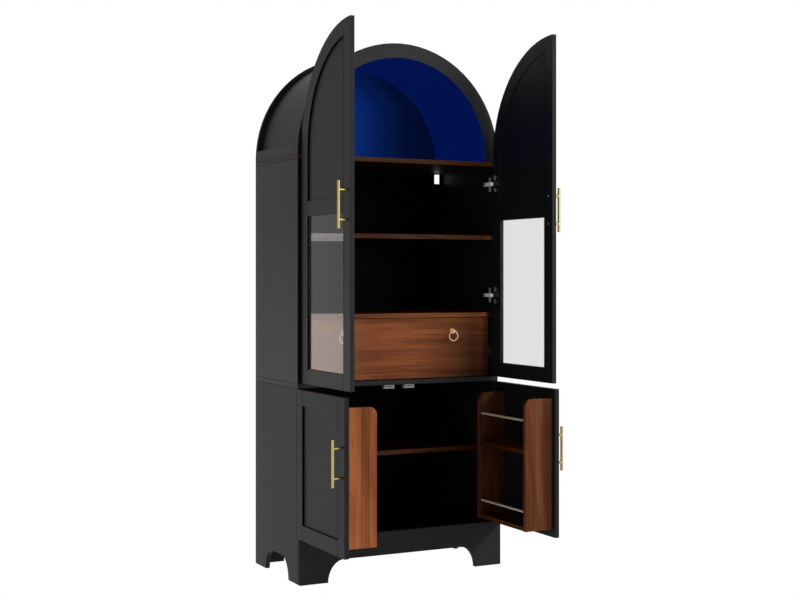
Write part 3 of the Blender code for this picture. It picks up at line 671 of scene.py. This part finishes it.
def lit_back(name):
    """Brightest on the left, where the strip sits, fading to the right and towards the top."""
    finish = Finish(name)
    tone, rough, stipple = paint_layers(finish)
    x, y, z = finish.axes()
    face = (arch_distance(finish) < LINING_RADIUS) * (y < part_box("arch_back")[0][1] + BACK_SKIN)
    tone = finish.mix(face, tone, SHADED_INSIDE_PAINT)
    across = x + 0.5 + FADE_SLOPE * (z - FADE_LEVEL).math("MAXIMUM", 0.0)
    fade = finish.ramp(across, BACK_GLOW)
    finish.set(Base_Color=tone, Roughness=rough, Normal=finish.bump(stipple),
               Emission_Color=finish.mix(face, UNLIT, fade), Emission_Strength=1.0, Specular_IOR_Level=0.04)
    return finish.material


strip_finish = Finish("blue_light_strip")
dots = strip_finish.noise(40.0, detail=1.0)
strip_finish.set(Base_Color=colour(0.6, 0.7, 0.9), Roughness=0.5, Emission_Strength=1.5,
                 Emission_Color=strip_finish.mix(dots, colour(0.01, 0.10, 0.9), colour(0.02, 0.16, 1.0)))
print("arch ready")

# %% [markdown]
# ## Dressing the solids
# Each solid keeps its shape and takes its finish by name. Painted boards share a finish. Every walnut board
# has its own start, as boards cut from different planks do.

# %% Boards by name
SIDES = ((-1, "left"), (1, "right"))


def wear(node, material):
    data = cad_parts[node].data
    data.materials.clear()
    data.materials.append(material)


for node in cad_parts:
    wear(node, paint)
for node in ("hutch_back", "base_back", "bottom_board"):
    wear(node, shaded_inside_paint(node))
for node in ("hutch_side_left", "hutch_side_right"):
    wear(node, side_paint(node))
for node in ("front_apron", "rear_apron"):
    wear(node, apron_paint)
for node in ("base_side_left", "base_side_right", "lower_left_panel", "lower_right_panel"):
    wear(node, base_paint)
# A depth scales a whole board's tones. The shelves' small depth of 0.35 is painted shade of the cabinet's
# inside.
for node, start, depth, shaded in (
        ("base_shelf", (0.0, 0.2, 0.0), 0.35, 0.85), ("hutch_shelf", (0.7, 0.9, 0.3), 0.35, 0.85),
        ("drawer_top", (0.2, 0.5, 0.8), 0.8, 0.85), ("drawer_front", (0.45, 0.3, 0.05), 1.20, 0.0),
        ("drawer_box", (0.9, 0.1, 0.4), 0.9, 0.0), ("drawer_bottom", (0.6, 0.8, 0.2), 0.9, 0.0)):
    wear(node, walnut("walnut_" + node, start, depth, shaded))
wear("crown_board", crown_walnut("walnut_crown"))
print("dressed the boards")

# %% [markdown]
# Glass and metal are dressed on both sides alike, and each rack has a walnut of its own. The ring of the arch
# is painted darker outside the doors, as painted shade, and glows, like the lining, only on the faces that
# look into the arch.

# %% Fittings by name
DOORS_AT = 0.378
# Each rack's walnut is scaled by a depth. The left rack's 1.20 is painted light and the right rack's 0.48
# painted shade, as the open right door cuts off the lamp on the right.
RACK_LOOKS = {"left": ((0.2, 0.4, 0.6), 1.20, 0.28), "right": ((0.8, 0.4, 0.6), 0.48, 0.0)}
LINING_SKIN, RING_SKIN = 0.0010, 0.0002
for side, word in SIDES:
    wear("lower_%s_rack" % word, rack_walnut(word, *RACK_LOOKS[word]))
    wear("upper_%s_glass" % word, glass)
    for level in ("low", "high"):
        wear("lower_%s_rack_%s_rail" % (word, level), rail_metal)
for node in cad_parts:
    if node.endswith("handle"):
        wear(node, brass)
    if node.startswith("pull_boss"):
        wear(node, pull_brass)
    if node.startswith("pull_ring"):
        wear(node, ring_brass)
    if node.endswith("hinge_arm"):
        wear(node, zinc)
    if node.startswith("drawer_runner"):
        wear(node, nickel)
    if node.startswith("magnetic_catch"):
        wear(node, catch_grey(node))
wear("arch_lining", lit_round("lit_lining", LINING_RADIUS + LINING_SKIN, 0.04))
wear("arch_ring", lit_round("lit_ring_edge", LINING_RADIUS + RING_SKIN, 0.19, DOORS_AT))
wear("arch_back", lit_back("lit_arch_back"))
wear("led_strip", strip_finish.material)
print("dressed the fittings")

# %% [markdown]
# A door frame's finish needs to know where its hinge cups are. A cup's flange stands proud of the frame's
# inner face, so the frame's box tells where both of them lie.

# %% Frames by name
CUP_FROM_EDGE = 0.0225
FLANGE_RISE, HAIR = 0.0015, 0.00001
HINGE_ROWS = {"upper": (0.991, 1.401), "lower": (0.245, 0.590)}
for side, word in SIDES:
    for level in ("upper", "lower"):
        low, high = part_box("%s_%s_frame" % (level, word))
        face = min(abs(low[0]), abs(high[0])) + FLANGE_RISE - HAIR
        cups = [(high[1] - CUP_FROM_EDGE, z, face) for z in HINGE_ROWS[level]]
        shine = SHINE if level == "upper" else BASE_SHINE
        wear("%s_%s_frame" % (level, word),
             frame_paint("paint_%s_%s_frame" % (level, word), shine, cups, high[1]))
print("dressed all", len(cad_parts), "solids")

# %% [markdown]
# ## Screws
# Two screws hold each handle, through the door from the inside, and more hold the hinges. A screw head is a
# low disc with a rounded rim: a short cone with equal ends, whose upper rim is bevelled.

# %% Screw heads
def finish_piece(name, bm, material, body):
    """Make a piece of a mesh, and let it ride on a body."""
    bmesh.ops.recalc_face_normals(bm, faces=bm.faces)
    mesh = bpy.data.meshes.new(name)
    bm.to_mesh(mesh)
    bm.free()
    mesh.materials.append(material)
    piece = bpy.data.objects.new(name, mesh)
    bpy.context.scene.collection.objects.link(piece)
    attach(piece, body)


def add_screw(bm, place, out, radius, height):
    """A pan head with its flat on place, standing out along an axis."""
    head = bmesh.new()
    bmesh.ops.create_cone(head, cap_ends=True, segments=24, radius1=radius, radius2=radius, depth=height)
    bmesh.ops.translate(head, vec=(0.0, 0.0, height / 2), verts=head.verts)
    rim = [edge for edge in head.edges if all(vert.co.z > height / 2 for vert in edge.verts)]
    bmesh.ops.bevel(head, geom=rim, offset=height * 0.55, segments=3, profile=0.5, affect="EDGES",
                    material=-1)
    crown = max(head.faces, key=lambda face: face.calc_center_median().z)
    bmesh.ops.poke(head, faces=[crown])
    for face in head.faces:
        face.smooth = True
    turn = Vector(out).to_track_quat("Z", "Y").to_matrix().to_4x4()
    bmesh.ops.transform(head, matrix=Matrix.Translation(place) @ turn, verts=head.verts)
    held = bpy.data.meshes.new("screw_head")
    head.to_mesh(held)
    head.free()
    bm.from_mesh(held)
    bpy.data.meshes.remove(held)


print("screw heads ready")

# %% [markdown]
# Handle screws sit on the inner face of the stile, behind the two posts of the handle.

# %% Handle screws
HANDLE_ROWS = {"upper": 1.290, "lower": 0.464}
POST_SPACING = 0.096
HANDLE_SCREW = (0.0036, 0.0016)         # radius and height of the head
for side, word in SIDES:
    for level in ("upper", "lower"):
        low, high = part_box("%s_%s_frame" % (level, word))
        face = side * (min(abs(low[0]), abs(high[0])) + FLANGE_RISE)
        y = low[1] + STILE_WIDTH / 2
        bm = bmesh.new()
        for end in (-1, 1):
            spot = (face, y, HANDLE_ROWS[level] + end * POST_SPACING / 2)
            add_screw(bm, spot, (-side, 0, 0), *HANDLE_SCREW)
        finish_piece("%s_%s_handle_screws" % (level, word), bm, nickel,
                     "%s_door_%s" % (level, word))
print("handle screws set")

# %% [markdown]
# Each hinge is held by two screws in the wings of its arm and two in the flange round its cup, and the arm
# carries one screw to fix it and one to set the gap. They ride on the cabinet and on the doors.

# %% Hinge screws
WING_MIDDLE, ARM_SCREW_PLACES = 0.0295, (0.0140, 0.0455)
WING_SCREW_RISE, CUP_SCREW_RISE = 0.0170, 0.0240
WING_SCREW, CUP_SCREW, ARM_SCREW = (0.0036, 0.0012), (0.0034, 0.0010), (0.0038, 0.0012)
arm_screws = bmesh.new()
for side, word in SIDES:
    for level in ("upper", "lower"):
        low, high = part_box("%s_%s_frame" % (level, word))
        face = side * min(abs(low[0]), abs(high[0]))
        cup_screws = bmesh.new()
        for z in HINGE_ROWS[level]:
            for end in (-1, 1):
                wing_spot = (side * WING_FACE, WING_MIDDLE, z + end * WING_SCREW_RISE)
                add_screw(arm_screws, wing_spot, (-side, 0, 0), *WING_SCREW)
                cup_spot = (face, high[1] - CUP_FROM_EDGE, z + end * CUP_SCREW_RISE)
                add_screw(cup_screws, cup_spot, (-side, 0, 0), *CUP_SCREW)
            for y in ARM_SCREW_PLACES:
                add_screw(arm_screws, (side * ARM_FACE, y, z), (-side, 0, 0), *ARM_SCREW)
        finish_piece("%s_%s_cup_screws" % (level, word), cup_screws, nickel,
                     "%s_door_%s" % (level, word))
finish_piece("hinge_arm_screws", arm_screws, nickel, "cabinet")
print("hinge screws set")

# %% [markdown]
# ## Joint lines
# Where a rail meets a stile the paint cracks to a hair line, which shows as a thin dark stroke. It has no
# gloss, so it can't be drawn in the glossy paint. Each stroke is a strip as thin as the paint, laid on both
# faces of the frame. On the meeting stile the stroke runs on past the rails, along the edge of the panel's
# recess, where it is painted shade. The lower doors also show a dark line along their hinge edge: the painted
# shadow of the gap to the cabinet's side.

# %% Joint strips
STROKE, STROKE_LIFT = 0.0016, 0.00012
ARCH_JOINT_TOP = 1.8640
JOINT_END, HINGE_SHADOW_LINE = 0.0015, 0.0018
RAIL_ROWS = {"upper": ((0.6935, 0.7445), (1.2655, 1.3165)), "lower": ((0.1620, 0.2125), (0.6215, 0.6720))}
joint_finish = Finish("joint_shadow")
dust = joint_finish.noise(300.0, detail=2.0)
dusty = joint_finish.mix(dust, colour(0.0006, 0.0006, 0.0006), colour(0.0016, 0.0016, 0.0016))
joint_finish.set(Base_Color=dusty, Roughness=0.9, Specular_IOR_Level=0.0)


def add_strip(bm, x, out, y, low, high):
    """A strip on the face at x, standing out by the lift, upright between two heights."""
    made = bmesh.ops.create_cube(bm, size=1.0)["verts"]
    size = Matrix.Diagonal((STROKE_LIFT, STROKE, high - low, 1.0))
    middle = Matrix.Translation((x + out * STROKE_LIFT / 2, y, (low + high) / 2))
    bmesh.ops.transform(bm, matrix=middle @ size, verts=made)


for side, word in SIDES:
    for level in ("upper", "lower"):
        low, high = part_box("%s_%s_frame" % (level, word))
        outer = side * max(abs(low[0]), abs(high[0]))
        inner = side * (min(abs(low[0]), abs(high[0])) + FLANGE_RISE)
        hinge_joint = high[1] - STILE_WIDTH + STROKE / 2
        meeting_joint = low[1] + STILE_WIDTH - STROKE / 2
        bottom_end, top_end = low[2] + JOINT_END, high[2] - JOINT_END
        stile_top = ARCH_JOINT_TOP if level == "upper" else top_end
        strips = bmesh.new()
        for x, out in ((outer, side), (inner, -side)):
            for bottom, top in RAIL_ROWS[level]:
                add_strip(strips, x, out, hinge_joint, bottom, top)
            add_strip(strips, x, out, meeting_joint, bottom_end, stile_top)
        if level == "lower":
            # Painted shadow of the gap along the lower door's hinge edge.
            add_strip(strips, outer, side, high[1] - HINGE_SHADOW_LINE, bottom_end, top_end)
        finish_piece("%s_%s_joints" % (level, word), strips, joint_finish.material,
                     "%s_door_%s" % (level, word))
print("joint strips set")
